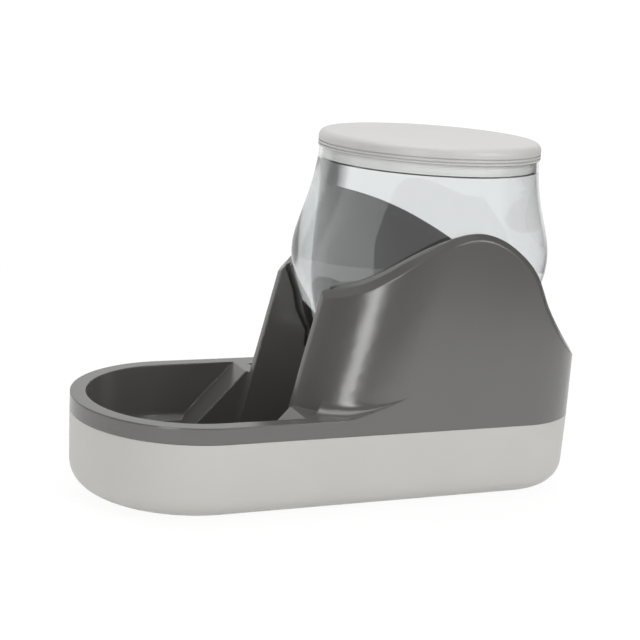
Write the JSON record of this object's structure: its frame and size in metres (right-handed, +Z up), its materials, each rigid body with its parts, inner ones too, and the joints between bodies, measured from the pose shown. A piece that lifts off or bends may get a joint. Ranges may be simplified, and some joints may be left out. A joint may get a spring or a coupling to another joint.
{
  "type": "pet water dispenser",
  "caption": "Gravity-fed water dispenser for a pet: a long bowl in front of a tower that holds a clear, lift-out tank with a lid and a spring valve in its cap.",
  "frame": {"origin": "middle of the footprint, on the surface under the feet", "axes": "+X from the bowl towards the tower, +Y to the right-hand side seen from the tower, +Z up"},
  "size_m": [0.37, 0.17, 0.2545],
  "materials": {
    "base_plastic": "satin",
    "housing_plastic": "satin",
    "tank_plastic": "gloss",
    "lid_plastic": "satin",
    "seal_rubber": "matte",
    "cap_plastic": "gloss",
    "valve_plastic": "gloss",
    "spring_steel": "satin",
    "screw_steel": "satin",
    "foot_rubber": "matte"
  },
  "bodies": {
    "base": {"base_shell": "base_plastic", "upper_housing": "housing_plastic", "foot_pad_1": "foot_rubber", "foot_pad_2": "foot_rubber", "foot_pad_3": "foot_rubber", "foot_pad_4": "foot_rubber", "housing_screws": "screw_steel"},
    "tank": {"tank": "tank_plastic"},
    "lid": {"lid": "lid_plastic", "lid_seal": "seal_rubber"},
    "cap": {"tank_cap": "cap_plastic", "cap_gasket": "seal_rubber", "spring_retainer": "cap_plastic", "valve_spring": "spring_steel"},
    "valve": {"valve_stem": "valve_plastic", "valve_seal": "seal_rubber"}
  },
  "joints": [
    {"name": "tank_lift", "type": "slide", "parent": "base", "child": "tank", "axis": [0, 0, 1], "range_m": [0, 0.16]},
    {"name": "lid_lift", "type": "slide", "parent": "tank", "child": "lid", "axis": [0, 0, 1], "range_m": [0, 0.05]},
    {"name": "cap_turn", "type": "hinge", "parent": "tank", "child": "cap", "pos_m": [0.073, 0, 0.075], "axis": [0, 0, 1], "range_deg": [0, 45]},
    {"name": "valve_slide", "type": "slide", "parent": "cap", "child": "valve", "axis": [0, 0, 1], "range_m": [-0.004, 0], "deforming": ["valve_spring"]}
  ],
  "couplings": [
    {"joint": "valve_slide", "follows": "tank_lift", "ratio": -0.025}
  ]
}
